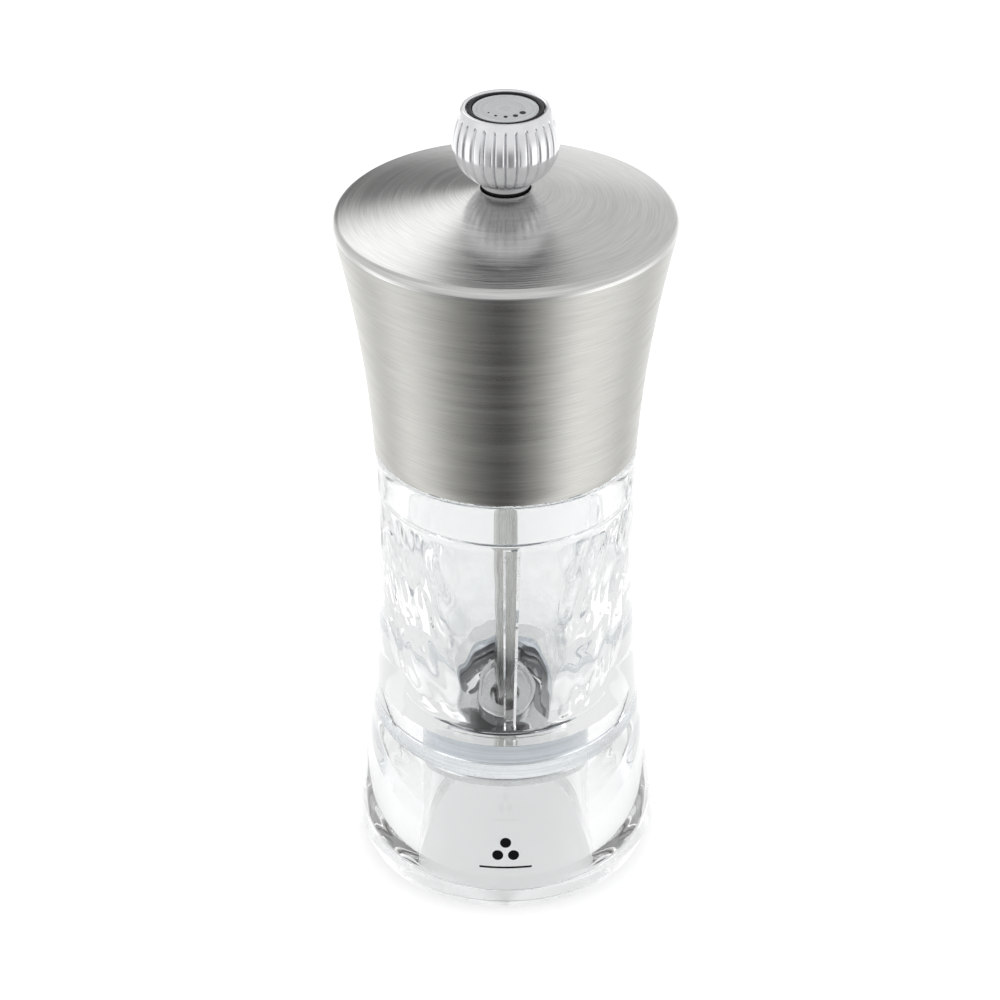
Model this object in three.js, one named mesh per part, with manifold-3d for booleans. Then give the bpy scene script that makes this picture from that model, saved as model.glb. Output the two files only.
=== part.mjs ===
// A manual pepper mill: a clear acrylic body with a steel grinding mechanism in its foot,
// and a spun steel cap that turns the square shaft. Millimetres, +Z up, z = 0 at the base.
import * as THREE from "three";
import { mergeVertices } from "three/addons/utils/BufferGeometryUtils.js";
import Module from "manifold-3d";

const wasm = await Module();
wasm.setup();

// ---- driving dimensions -------------------------------------------------------------

const gap = 0.3; // between pieces that touch
const slack = 0.4; // between pieces that are put together by hand

// acrylic body
const bodyHeight = 79.5; // base to shoulder
const footRadius = 26.3;
const footChamferHeight = 5.2;
const footChamferWidth = 2.2;
const waistRadius = 21.7;
const waistHeight = 60;
const shoulderRadius = 21.9;
const neckHeight = 8.5;
const neckWall = 1.5;
const neckChamfer = 0.6;
const chamberStepWidth = 0.7; // the neck bore narrows by this into the chamber
const chamberStepDepth = 9.5; // below the shoulder
const chamberStepHeight = 0.8;
const chamberRibWidth = 2.0; // moulded rib up the chamber's front wall
const chamberRibDepth = 1.3;
const chamberRibRoot = 1.0; // reaches this far into the wall
const chamberRibShort = 1.0; // ends this far from the step and the floor
const chamberRibTurn = 0.055; // radians from the front towards +X
const funnelLand = 0.8; // the chamber's floor is this much wider than the opening below
const footCavityHeight = 20.8;
const footBore = 15.2;

// grinding mechanism
const housingHeight = 6.8;
const housingWall = 2.7;
const housingFlange = 1.5;
const housingGroove = 0.35;
const housingLip = 2.5; // the top flange reaches this far in over the bore
const plateThickness = 1.5;
const plateLand = 3.9; // width of the flat ring
const ringHeight = 3.5; // toothed ring
const ringBackWall = 0.75;
const ringTeeth = 24;
const toothDepth = 0.7;
const coneSlope = 0.7; // radius lost per millimetre of height
const grindGap = 0.55; // between ring and cone, at rest
const coneTeeth = 15;
const coneHelix = 0.11; // radians per millimetre
const coneSkirt = 2.0;
const coneFloor = 1.4;
const bridgeThickness = 0.9;
const bridgeRim = 1.7;
const bridgeHub = 6.0;
const bridgeLip = 1.2;
const bridgeLipWall = 0.8;
const bridgeArm = 3.0;
const bridgeArms = 3;
const plateScrews = 3;
const plateScrewShank = 0.65;
const plateScrewHead = 1.2;
const plateScrewHeadHeight = 0.6;
const plateScrewDepth = 3.6; // into the housing

// shaft and what is on it
const shaftSide = 3.6;
const shaftTurn = 0.2; // radians about its own axis
const threadRadius = 1.95;
const threadShort = 1.0; // from the end of the thread up to the top of the insert
const rivetRadius = 2.9;
const rivetHeight = 0.6;
const washerThickness = 0.6;
const washerRadius = 3.9;
const seatThickness = 0.5;
const springWire = 0.6;
const springClear = 0.5; // between the shaft's corners and the coils
const springTurns = 3;

// cap
const capWallHeight = 40.4; // lower edge to the widest point
const rimRadius = 27.85;
const rimRound = 1.6;
const capLean = 1.2; // how far the wall's tangent leans out at half height
const crownHeight = 6.0; // widest point to the knob's seat
const shellWall = 0.8;
const crownHole = 4.0;
const coreWall = 1.6;
const coreInset = 1.2; // core's lower edge above the cap's
const coreSkirt = 1.5; // wall round the neck
const coreShort = 3.2; // top edge below the cap's widest point
const coreWeb = 2.0;
const coreTube = 5.5;
const coreRib = 1.4;
const coreRibDrop = 5.1; // ribs end this far below the core's top edge
const coreRibs = 4;
const bossRadius = 2.4;
const bossHeight = 6.5;
const drivePlateRadius = 10.5;
const drivePlateThickness = 1.5;
const driveScrews = 2;
const driveScrewCircle = 7.6;
const driveScrewShank = 0.9;
const driveScrewHead = 1.9;
const driveScrewHeadHeight = 0.7;
const bushFlange = 5.2;
const bushFlangeHeight = 2.4;

// knob
const knobRadius = 8.6;
const knobHeight = 12.4;
const knobWidest = 6.2; // height of the widest point above the knob's foot
const knobFootRadius = 4.4;
const knobRimBand = 1.1; // plain band above the flutes
const flutes = 28;
const fluteDepth = 0.4;
const knobWasherThickness = 0.5;
const knobWasherRadius = 3.9;
const insertRadius = 3.0;
const knobFloor = 2.3; // metal between the insert's bore and the trim
const trimDepth = 1.4;
const trimWall = 0.6; // metal round the trim at the knob's top
const trimRing = 0.8; // width of the black ring
const trimRingHeight = 1.0;
const discRadius = 5.0;
const discThickness = 0.8;

// how finely round pieces are divided
const roundLarge = 48;
const roundSmall = 24;

// ---- places worked out from them ----------------------------------------------------

const plateZ = footCavityHeight;
const housingZ = plateZ + plateThickness + gap;
const housingTop = housingZ + housingHeight;
const pocketTop = housingTop + gap;
const housingRadius = footBore - gap;
const housingBore = housingRadius - housingWall;
const ringRadius = housingBore - gap;
const ringZ = housingZ + gap;
const ringTop = ringZ + ringHeight;
const ringMouth = ringRadius - ringBackWall - toothDepth; // tooth tips at the lower edge
const bridgeZ = ringTop + gap;
const bridgeTop = bridgeZ + bridgeThickness;
const seatZ = bridgeZ - gap - seatThickness;
const coneTop = seatZ - 2 * gap;
const coneZ = ringZ - coneSkirt;
const coneRadius = ringMouth - grindGap;
const pocketFloor = coneZ + coneFloor;
const shaftHole = shaftSide + 2 * gap;
const shaftCorner = shaftSide / Math.SQRT2;
const roundShaftHole = shaftCorner + gap;
const washerZ = coneZ - gap - washerThickness;
const rivetZ = washerZ - gap - rivetHeight;
const screwCircle = (housingBore + housingRadius) / 2;
const floorOpening = housingBore - housingLip;
const funnelRadius = floorOpening + funnelLand;
const springRadius = shaftCorner + springClear + springWire / 2; // middle of the wire
const seatRadius = springRadius + springWire / 2;

const neckTop = bodyHeight + neckHeight;
const neckRadius = shoulderRadius - shellWall - gap - coreSkirt - slack;
const neckBore = neckRadius - neckWall;
const chamberRadius = neckBore - chamberStepWidth;
const stepZ = bodyHeight - chamberStepDepth;
const capZ = bodyHeight + gap;
const rimZ = capZ + capWallHeight;
const crownZ = rimZ + crownHeight;
const coreZ = capZ + coreInset;
const coreTop = rimZ - coreShort;
const webZ = neckTop + slack;
const webTop = webZ + coreWeb;
const drivePlateZ = webZ - gap - drivePlateThickness;
const bushTop = crownZ + gap;
const bushZ = crownZ - shellWall - gap - bushFlangeHeight;
const coreTubeTop = bushZ - gap;
const threadHole = threadRadius + gap;
const shaftTop = coreTubeTop - gap;
const knobWasherZ = bushTop + gap;
const knobZ = knobWasherZ + knobWasherThickness + gap;
const knobTop = knobZ + knobHeight;
const trimFloor = knobTop - trimDepth;
const insertZ = knobZ + gap;
const insertTop = trimFloor - knobFloor - gap;
const threadTop = insertTop - threadShort;
const trimRingInner = discRadius + gap;
const trimRingOuter = trimRingInner + trimRing;
const trimRadius = trimRingOuter + gap;
const knobTopRadius = trimRadius + trimWall;

// ---- helpers ------------------------------------------------------------------------

// A ring or disc turned about Z from [radius, z] corners, listed anticlockwise.
function turned(corners, segments = roundSmall) {
  const closed = corners.some(([radius]) => radius > 0) && corners[0][0] > 0;
  const outline = closed ? [...corners, corners[0]] : corners;
  const points = outline.map(([radius, z]) => new THREE.Vector2(radius, z));
  return new THREE.LatheGeometry(points, segments).rotateX(Math.PI / 2);
}

// A plain tube between two heights.
function tube(inner, outer, low, high, segments = roundSmall) {
  const corners = [[outer, low], [outer, high], [inner, high], [inner, low]];
  return turned(corners, segments);
}

// A solid round bar between two heights.
function bar(radius, low, high, segments = roundSmall) {
  return turned([[0, low], [radius, low], [radius, high], [0, high]], segments);
}

// A square bar on the axis, turned as the shaft is.
function squareBar(side, low, high) {
  const geometry = new THREE.BoxGeometry(side, side, high - low);
  return geometry.rotateZ(shaftTurn).translate(0, 0, (low + high) / 2);
}

function moved(geometry, x, y) {
  return geometry.translate(x, y, 0);
}

// Places of count things round the axis.
function spread(count, radius, start = 0) {
  return Array.from({ length: count }, (_, i) => {
    const angle = start + (2 * Math.PI * i) / count;
    return { angle, x: radius * Math.cos(angle), y: radius * Math.sin(angle) };
  });
}

function solid(geometry) {
  const bare = new THREE.BufferGeometry();
  bare.setAttribute("position", geometry.getAttribute("position"));
  bare.setIndex(geometry.getIndex());
  const merged = mergeVertices(bare, 1e-4);
  return new wasm.Manifold(new wasm.Mesh({
    numProp: 3,
    vertProperties: new Float32Array(merged.getAttribute("position").array),
    triVerts: new Uint32Array(merged.getIndex().array),
  }));
}

function geometryOf(body) {
  const mesh = body.getMesh();
  const geometry = new THREE.BufferGeometry();
  geometry.setAttribute("position", new THREE.BufferAttribute(mesh.vertProperties, 3));
  geometry.setIndex(new THREE.BufferAttribute(mesh.triVerts, 1));
  geometry.computeVertexNormals();
  return geometry;
}

// Joins the first list of shapes and cuts the second from them.
function shaped(joins, cuts = []) {
  const whole = joins.map(solid).reduce((a, b) => a.add(b));
  return geometryOf(cuts.map(solid).reduce((a, b) => a.subtract(b), whole));
}

// Skins loops of equal length, each a list of [x, y, z]. A closed skin joins its last
// loop to its first; an open one has a flat lid on each end.
function skinned(loops, closed) {
  const count = loops[0].length;
  const places = loops.flat();
  const faces = [];
  const rows = closed ? loops.length : loops.length - 1;
  for (let row = 0; row < rows; row += 1) {
    const below = row * count;
    const above = ((row + 1) % loops.length) * count;
    for (let i = 0; i < count; i += 1) {
      const next = (i + 1) % count;
      faces.push(below + i, below + next, above + next);
      faces.push(below + i, above + next, above + i);
    }
  }
  if (!closed) {
    const lastRow = (loops.length - 1) * count;
    places.push([0, 0, loops[0][0][2]], [0, 0, loops.at(-1)[0][2]]);
    for (let i = 0; i < count; i += 1) {
      const next = (i + 1) % count;
      faces.push(places.length - 2, next, i);
      faces.push(places.length - 1, lastRow + i, lastRow + next);
    }
  }
  const geometry = new THREE.BufferGeometry();
  geometry.setAttribute("position", new THREE.Float32BufferAttribute(places.flat(), 3));
  geometry.setIndex(faces);
  return geometry;
}

// A loop at height z whose radius grows by rise, shaped by one repeated set of shares.
function wavyLoop(radius, z, count, rise, shares, turn = 0) {
  const steps = count * shares.length;
  return Array.from({ length: steps }, (_, i) => {
    const angle = turn + (2 * Math.PI * i) / steps;
    const r = radius + rise * shares[i % shares.length];
    return [r * Math.cos(angle), r * Math.sin(angle), z];
  });
}

// ---- acrylic body -------------------------------------------------------------------

// The outside sweeps in from the foot to the waist: shares of the way up and of the
// difference in radius that is left.
const sweepIn = [[0, 1], [0.17, 0.78], [0.37, 0.4], [0.56, 0.2], [0.76, 0.07], [1, 0]];

function bodyOutside() {
  const rise = waistHeight - footChamferHeight;
  const bulge = footRadius - waistRadius;
  const points = sweepIn.map(([up, left]) => {
    return new THREE.Vector2(waistRadius + left * bulge, footChamferHeight + up * rise);
  });
  points.push(new THREE.Vector2(shoulderRadius, bodyHeight));
  return new THREE.SplineCurve(points).getPoints(10).map((p) => [p.x, p.y]);
}

function acrylicBody() {
  const bell = turned([
    [footRadius - footChamferWidth, 0],
    ...bodyOutside(),
    [neckRadius, bodyHeight],
    [neckRadius, neckTop - neckChamfer],
    [neckRadius - neckChamfer, neckTop],
    [neckBore, neckTop],
    [neckBore, stepZ + chamberStepHeight],
    [chamberRadius, stepZ],
    [funnelRadius, pocketTop],
    [footBore, pocketTop],
    [footBore, 0],
  ], roundLarge);
  return shaped([bell, chamberRib()]);
}

// Lies along the chamber's sloping wall.
function chamberRib() {
  const out = chamberRadius - funnelRadius;
  const up = stepZ - pocketTop;
  const length = Math.hypot(out, up) - 2 * chamberRibShort;
  const depth = chamberRibDepth + chamberRibRoot;
  const middle = (chamberRadius + funnelRadius + chamberRibRoot - chamberRibDepth) / 2;
  const rib = new THREE.BoxGeometry(depth, chamberRibWidth, length);
  rib.rotateY(Math.atan2(out, up));
  rib.translate(middle, 0, (stepZ + pocketTop) / 2);
  rib.rotateZ(chamberRibTurn - Math.PI / 2);
  return rib;
}

// ---- grinding mechanism -------------------------------------------------------------

const plateScrewPlaces = spread(plateScrews, screwCircle, Math.PI / 2);

function mechanismHousing() {
  const middle = housingZ + housingHeight / 2;
  const ring = turned([
    [housingRadius, housingZ],
    [housingRadius, middle - housingGroove],
    [housingRadius - housingGroove, middle],
    [housingRadius, middle + housingGroove],
    [housingRadius, housingTop],
    [floorOpening, housingTop],
    [floorOpening, housingTop - housingFlange],
    [housingBore, housingTop - housingFlange],
    [housingBore, housingZ],
  ], roundLarge);
  const holeTop = housingZ + plateScrewDepth + gap;
  const holes = plateScrewPlaces.map(({ x, y }) => {
    return moved(bar(plateScrewShank + gap, housingZ - 1, holeTop, 12), x, y);
  });
  return shaped([ring], holes);
}

function grindingRing() {
  const shares = [0, 1, 0.67, 0.33];
  const top = ringMouth - coneSlope * ringHeight;
  const flat = [0, 0, 0, 0];
  return skinned([
    wavyLoop(ringRadius, ringZ, ringTeeth, 0, flat),
    wavyLoop(ringRadius, ringTop, ringTeeth, 0, flat),
    wavyLoop(top, ringTop, ringTeeth, toothDepth, shares),
    wavyLoop(ringMouth, ringZ, ringTeeth, toothDepth, shares),
  ], true);
}

function shaftBridge() {
  const rim = tube(ringRadius - bridgeRim, ringRadius, bridgeZ, bridgeTop, roundLarge);
  const hub = bar(bridgeHub, bridgeZ, bridgeTop, roundLarge);
  const lipTop = bridgeTop + bridgeLip;
  const lip = tube(bridgeHub - bridgeLipWall, bridgeHub, bridgeZ, lipTop, roundLarge);
  const reach = ringRadius - bridgeRim / 2;
  const arms = spread(bridgeArms, reach / 2, -Math.PI / 4).map(({ angle, x, y }) => {
    const arm = new THREE.BoxGeometry(reach, bridgeArm, bridgeThickness);
    return arm.rotateZ(angle).translate(x, y, bridgeZ + bridgeThickness / 2);
  });
  const hole = bar(roundShaftHole, bridgeZ - 1, lipTop + 1);
  return shaped([rim, hub, lip, ...arms], [hole]);
}

function retainingPlate() {
  const ring = tube(housingRadius - plateLand, housingRadius, plateZ, plateZ + plateThickness, roundLarge);
  const holes = plateScrewPlaces.map(({ x, y }) => {
    return moved(bar(plateScrewShank + gap, plateZ - 1, plateZ + plateThickness + 1, 12), x, y);
  });
  return shaped([ring], holes);
}

function screw(shank, head, headHeight, headZ, tip) {
  return turned([
    [0, headZ],
    [head, headZ],
    [head, headZ + headHeight],
    [shank, headZ + headHeight],
    [shank, tip],
    [0, tip],
  ], 16);
}

function grindingCone() {
  const shares = [0.33, 0.67, 1, 0];
  const low = coneRadius - toothDepth;
  const high = low - coneSlope * (coneTop - ringZ);
  const middle = (ringZ + coneTop) / 2;
  const loops = [
    [low, coneZ],
    [low, ringZ],
    [(low + high) / 2, middle],
    [high, coneTop],
  ].map(([radius, z]) => {
    return wavyLoop(radius, z, coneTeeth, toothDepth, shares, coneHelix * (z - coneZ));
  });
  const pocket = bar(springRadius + springWire / 2 + gap, pocketFloor, coneTop + 1);
  return shaped([skinned(loops, false)], [pocket, squareBar(shaftHole, coneZ - 1, coneTop)]);
}

// ---- shaft --------------------------------------------------------------------------

function squareShaft() {
  return shaped([
    bar(rivetRadius, rivetZ, rivetZ + rivetHeight),
    squareBar(shaftSide, rivetZ, shaftTop),
    bar(threadRadius, shaftTop - 1, threadTop, 16),
  ]);
}

function squareHoled(radius, low, high) {
  return shaped([bar(radius, low, high)], [squareBar(shaftHole, low - 1, high + 1)]);
}

class Helix extends THREE.Curve {
  constructor(radius, low, high, turns) {
    super();
    Object.assign(this, { radius, low, high, turns });
  }
  getPoint(t) {
    const angle = 2 * Math.PI * this.turns * t;
    const z = this.low + (this.high - this.low) * t;
    return new THREE.Vector3(this.radius * Math.cos(angle), this.radius * Math.sin(angle), z);
  }
}

function spring() {
  const section = new THREE.Shape().absarc(0, 0, springWire / 2, 0, 2 * Math.PI);
  const low = pocketFloor + gap + springWire / 2;
  const high = seatZ - gap - springWire / 2;
  return new THREE.ExtrudeGeometry(section, {
    curveSegments: 3,
    steps: springTurns * 14,
    extrudePath: new Helix(springRadius, low, high, springTurns),
  });
}

// ---- cap ----------------------------------------------------------------------------

// Outside radius of the cap's wall at height z: a bell that leans out towards the rim.
function capRadius(z) {
  const t = (z - capZ) / capWallHeight;
  return shoulderRadius + 2 * capLean * t * (1 - t) + (rimRadius - shoulderRadius) * t * t;
}

function capWallPoints(inset, low, high, steps) {
  return Array.from({ length: steps + 1 }, (_, i) => {
    const z = low + ((high - low) * i) / steps;
    return [capRadius(z) - inset, z];
  });
}

function headShell() {
  const slope = Math.atan2(crownHeight, rimRadius - crownHole);
  const roundEnd = Math.PI / 2 - slope;
  const rimPoints = (inset) => [1, 2, 3].map((step) => {
    const angle = (roundEnd * step) / 3;
    const radius = rimRound - inset;
    return [
      rimRadius - rimRound + radius * Math.cos(angle),
      rimZ + radius * Math.sin(angle),
    ];
  });
  return turned([
    ...capWallPoints(0, capZ, rimZ, 6),
    ...rimPoints(0),
    [crownHole, crownZ],
    [crownHole, crownZ - shellWall],
    ...rimPoints(shellWall).reverse(),
    ...capWallPoints(shellWall, capZ, rimZ, 6).reverse(),
  ], roundLarge);
}

const driveScrewPlaces = spread(driveScrews, driveScrewCircle);

function headCore() {
  const inset = shellWall + gap;
  const wall = turned([
    ...capWallPoints(inset, coreZ, coreTop, 4),
    ...capWallPoints(inset + coreWall, webTop, coreTop, 3).reverse(),
    [coreTube, webTop],
    [coreTube, coreTubeTop],
    [roundShaftHole, coreTubeTop],
    [roundShaftHole, webZ],
    [neckRadius + slack, webZ],
    [neckRadius + slack, coreZ],
  ], roundLarge);
  const bosses = driveScrewPlaces.map(({ x, y }) => {
    return moved(bar(bossRadius, webZ + coreWeb / 2, webTop + bossHeight, 16), x, y);
  });
  const ribOuter = capRadius(webTop) - inset - coreWall / 2;
  const ribInner = coreTube - coreWall / 2;
  const ribZ = webZ + coreWeb / 2;
  const ribTop = coreTop - coreRibDrop;
  const ribs = spread(coreRibs, (ribOuter + ribInner) / 2, Math.PI / 4).map(({ angle, x, y }) => {
    const rib = new THREE.BoxGeometry(ribOuter - ribInner, coreRib, ribTop - ribZ);
    return rib.rotateZ(angle).translate(x, y, (ribZ + ribTop) / 2);
  });
  const holes = driveScrewPlaces.map(({ x, y }) => {
    return moved(bar(driveScrewShank + gap, webZ - 1, webTop + bossHeight - 1, 12), x, y);
  });
  return shaped([wall, ...bosses, ...ribs], holes);
}

function drivePlate() {
  const top = drivePlateZ + drivePlateThickness;
  const holes = driveScrewPlaces.map(({ x, y }) => {
    return moved(bar(driveScrewShank + gap, drivePlateZ - 1, top + 1, 12), x, y);
  });
  const square = squareBar(shaftHole, drivePlateZ - 1, top + 1);
  return shaped([bar(drivePlateRadius, drivePlateZ, top, roundLarge)], [square, ...holes]);
}

function topBush() {
  return turned([
    [bushFlange, bushZ],
    [bushFlange, bushZ + bushFlangeHeight],
    [crownHole - gap, bushZ + bushFlangeHeight],
    [crownHole - gap, bushTop],
    [threadHole, bushTop],
    [threadHole, bushZ],
  ]);
}

// ---- knob ---------------------------------------------------------------------------

// Radius of the knob's barrel at height h above its foot: a quarter ellipse each way.
function knobBarrel(h) {
  const up = h > knobWidest;
  const end = up ? knobTopRadius : knobFootRadius;
  const reach = (up ? knobHeight - knobWidest : knobWidest) / Math.sqrt(1 - (end / knobRadius) ** 2);
  return knobRadius * Math.sqrt(1 - ((h - knobWidest) / reach) ** 2);
}

function knobBody() {
  const shares = [0, 0.85, 1, 0.85];
  const fluted = [0, 0.15, 0.33, 0.55, 0.78, 1].map((share) => {
    const h = share * (knobHeight - knobRimBand);
    return wavyLoop(knobBarrel(h) - fluteDepth, knobZ + h, flutes, fluteDepth, shares);
  });
  const bandLow = knobHeight - knobRimBand * 0.8;
  const band = [bandLow, knobHeight].map((h) => {
    return wavyLoop(knobBarrel(h) - fluteDepth / 2, knobZ + h, flutes, 0, shares);
  });
  return shaped([skinned([...fluted, ...band], false)], [
    bar(insertRadius + gap, knobZ - 1, insertTop + gap),
    bar(trimRadius, trimFloor, knobTop + 1, roundLarge),
  ]);
}

// ---- assembly -----------------------------------------------------------------------

function metal(color, roughness, metalness = 1) {
  return new THREE.MeshStandardMaterial({ color, roughness, metalness });
}

const acrylic = new THREE.MeshStandardMaterial({
  color: 0xf2f6f7, roughness: 0.03, metalness: 0, transparent: true, opacity: 0.3,
});
const brushedSteel = metal(0xb9bab2, 0.32);
const toolSteel = metal(0x5a5d60, 0.4);
const aluminium = metal(0xbcc1c6, 0.35);
const satinChrome = metal(0xc9cbcd, 0.22);
const screwSteel = metal(0x9b9da0, 0.35);
const brass = metal(0xb5964e, 0.35);
const palePlastic = metal(0xd2d2cd, 0.45, 0);
const blackPlastic = metal(0x101113, 0.2, 0);

const root = new THREE.Group();

function part(name, geometry, material) {
  const mesh = new THREE.Mesh(geometry, material);
  mesh.name = name;
  root.add(mesh);
}

part("acrylic_body", acrylicBody(), acrylic);
part("mechanism_housing", mechanismHousing(), aluminium);
part("grinding_ring", grindingRing(), toolSteel);
part("shaft_bridge", shaftBridge(), toolSteel);
part("retaining_plate", retainingPlate(), screwSteel);
plateScrewPlaces.forEach(({ x, y }, i) => {
  const headZ = plateZ - gap - plateScrewHeadHeight;
  const tip = housingZ + plateScrewDepth;
  const one = screw(plateScrewShank, plateScrewHead, plateScrewHeadHeight, headZ, tip);
  part(`plate_screw_${i + 1}`, moved(one, x, y), screwSteel);
});

part("spring_seat", squareHoled(seatRadius, seatZ, seatZ + seatThickness), screwSteel);
part("spring", spring(), screwSteel);
part("square_shaft", squareShaft(), aluminium);
part("grinding_cone", grindingCone(), toolSteel);
part("rotor_washer", squareHoled(washerRadius, washerZ, washerZ + washerThickness), screwSteel);

part("head_shell", headShell(), brushedSteel);
part("head_core", headCore(), palePlastic);
part("drive_plate", drivePlate(), screwSteel);
driveScrewPlaces.forEach(({ x, y }, i) => {
  const headZ = drivePlateZ - gap - driveScrewHeadHeight;
  const tip = webTop + bossHeight - 2;
  const one = screw(driveScrewShank, driveScrewHead, driveScrewHeadHeight, headZ, tip);
  part(`drive_plate_screw_${i + 1}`, moved(one, x, y), screwSteel);
});
part("top_bush", topBush(), blackPlastic);

const washerTop = knobWasherZ + knobWasherThickness;
part("knob_washer", tube(threadHole, knobWasherRadius, knobWasherZ, washerTop), screwSteel);
part("knob_body", knobBody(), satinChrome);
part("knob_insert", tube(threadHole, insertRadius, insertZ, insertTop), brass);
const trimZ = trimFloor + gap;
const trimTop = trimZ + trimRingHeight;
part("knob_ring", tube(trimRingInner, trimRingOuter, trimZ, trimTop, roundLarge), blackPlastic);
part("knob_disc", bar(discRadius, trimZ, trimZ + discThickness, roundLarge), aluminium);

export default root;
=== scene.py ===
# A manual pepper mill in clear acrylic and brushed steel: finished looks round the packed
# CAD frame. +Z is up and the front faces -Y. Shapes are drawn in millimetres and in_metres()
# brings them to the frame's scale; the stage is in metres.
import math

import bmesh
import bpy
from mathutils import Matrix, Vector, noise


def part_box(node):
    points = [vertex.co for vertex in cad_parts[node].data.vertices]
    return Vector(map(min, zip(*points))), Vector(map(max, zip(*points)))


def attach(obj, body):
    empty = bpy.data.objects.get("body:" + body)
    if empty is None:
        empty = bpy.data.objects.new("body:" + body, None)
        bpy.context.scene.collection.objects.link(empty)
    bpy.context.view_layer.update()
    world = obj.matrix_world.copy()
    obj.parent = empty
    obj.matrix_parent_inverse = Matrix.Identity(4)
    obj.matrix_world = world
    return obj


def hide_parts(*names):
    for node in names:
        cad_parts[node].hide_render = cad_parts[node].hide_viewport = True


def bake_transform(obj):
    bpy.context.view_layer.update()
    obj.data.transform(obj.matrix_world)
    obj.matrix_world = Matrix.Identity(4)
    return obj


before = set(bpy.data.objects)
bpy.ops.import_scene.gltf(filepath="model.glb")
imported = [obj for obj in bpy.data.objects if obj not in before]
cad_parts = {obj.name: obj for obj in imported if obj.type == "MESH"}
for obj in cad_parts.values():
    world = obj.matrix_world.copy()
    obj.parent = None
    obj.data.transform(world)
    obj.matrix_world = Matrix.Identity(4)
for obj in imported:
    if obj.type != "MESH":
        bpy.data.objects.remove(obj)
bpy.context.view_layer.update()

MM = 0.001
TAU = 2 * math.pi


# ---- sizes read from the frame -------------------------------------------------------

def span(node):
    """Outer radius, lowest z and highest z of a round CAD node, in millimetres."""
    low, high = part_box(node)
    return max(high.x, -low.x) / MM, low.z / MM, high.z / MM


foot_r, _, neck_top = span("acrylic_body")
_, housing_z, housing_top = span("mechanism_housing")
plate_r, plate_z, plate_top = span("retaining_plate")
ring_r, ring_z, ring_top = span("grinding_ring")
bridge_r, bridge_z, bridge_top = span("shaft_bridge")
cone_r, cone_z, cone_top = span("grinding_cone")
_, shaft_z, shaft_top = span("square_shaft")
_, spring_z, spring_top = span("spring")
rim_r, cap_z, crown_z = span("head_shell")
bush_r, bush_z, bush_top = span("top_bush")
knob_r, knob_z, knob_top = span("knob_body")
knob_washer_r, _, knob_washer_top = span("knob_washer")
trim_r, trim_z, trim_top = span("knob_ring")
disc_r, disc_z, disc_top = span("knob_disc")

# ---- sizes of the fine shapes, in millimetres ----------------------------------------

gap = 0.3  # between pieces that touch on the mill itself

shoulder_z = cap_z - gap
shoulder_r = 21.9
waist_r = 21.7
waist_z = 60.0
chamfer_z = 5.2
base_r = foot_r - 2.2
neck_r = 18.9
neck_bore = 17.4
step_z = 70.0  # the neck's bore narrows here into the chamber
step_h = 0.8
chamber_r = 16.7
funnel_r = 10.5  # at the chamber's floor
foot_bore = 15.2
pocket_top = housing_top + gap

cap_lean = 1.2  # how far the wall's curve first heads out from the shoulder
rim_round = 1.6
rim_z = crown_z - 6.0
shell_wall = 0.8
crown_hole = 4.0

tooth_slope = 0.7  # how far the ring's and cone's teeth lean in for each unit of height
thread_pitch = 0.7

flutes = 28
flute_depth = 0.65
knob_widest = 6.2  # height of the widest point above the knob's foot
knob_end_top = 7.0  # radius at the knob's top
knob_end_foot = 4.4


# ---- outlines ------------------------------------------------------------------------

def arc(r, z, radius, start, end, steps=6):
    """Points of an arc in the (radius, z) plane; angles in degrees from +radius."""
    angles = [math.radians(start + (end - start) * i / steps) for i in range(steps + 1)]
    return [(r + radius * math.cos(a), z + radius * math.sin(a)) for a in angles]


def eased(points, steps):
    """A smooth curve through (radius, z) points (Catmull-Rom)."""
    padded = [points[0], *points, points[-1]]
    out = []
    for i in range(len(points) - 1):
        a, b, c, d = (Vector(p) for p in padded[i:i + 4])
        for k in range(steps):
            t = k / steps
            p = 0.5 * (2 * b + (c - a) * t + (2 * a - 5 * b + 4 * c - d) * t ** 2
                       + (3 * b - a - 3 * c + d) * t ** 3)
            out.append((p.x, p.y))
    return [*out, points[-1]]


def cap_radius(z):
    """Outside radius of the cap's bell-shaped wall."""
    t = (z - cap_z) / (rim_z - cap_z)
    return shoulder_r + 2 * cap_lean * t * (1 - t) + (rim_r - shoulder_r) * t * t


def knob_radius(h):
    """Radius of the knob's barrel at height h above its foot."""
    up = h > knob_widest
    end = knob_end_top if up else knob_end_foot
    reach = (knob_top - knob_z - knob_widest) if up else knob_widest
    reach /= math.sqrt(1 - (end / knob_r) ** 2)
    return knob_r * math.sqrt(1 - ((h - knob_widest) / reach) ** 2)


# ---- mesh making ---------------------------------------------------------------------

def placed(name, data):
    """A new object in the scene that holds this mesh, light or camera."""
    obj = bpy.data.objects.new(name, data)
    bpy.context.scene.collection.objects.link(obj)
    return obj


def mesh_of(name, bm):
    """A mesh from a bmesh, which is used up."""
    mesh = bpy.data.meshes.new(name)
    bm.to_mesh(mesh)
    bm.free()
    return mesh


def in_metres(bm):
    """Brings a bmesh in millimetres to metres, with its faces pointing out."""
    for v in bm.verts:
        v.co *= MM
    bmesh.ops.recalc_face_normals(bm, faces=bm.faces)
    return bm


def piece(name, bm, material, body, replaces, sharp=35):
    """A finished object from a bmesh in millimetres, bound to its CAD body if one is given.

    Edges sharper than `sharp` degrees stay sharp when it is shaded.
    """
    mesh = mesh_of(name, in_metres(bm))
    mesh.shade_smooth()
    mesh.set_sharp_from_angle(angle=math.radians(sharp))
    obj = placed(name, mesh)
    materials = material if isinstance(material, list) else [material]
    for one in materials:
        mesh.materials.append(one)
    if body:
        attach(obj, body)
    if replaces:
        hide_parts(*replaces)
    return obj


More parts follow.
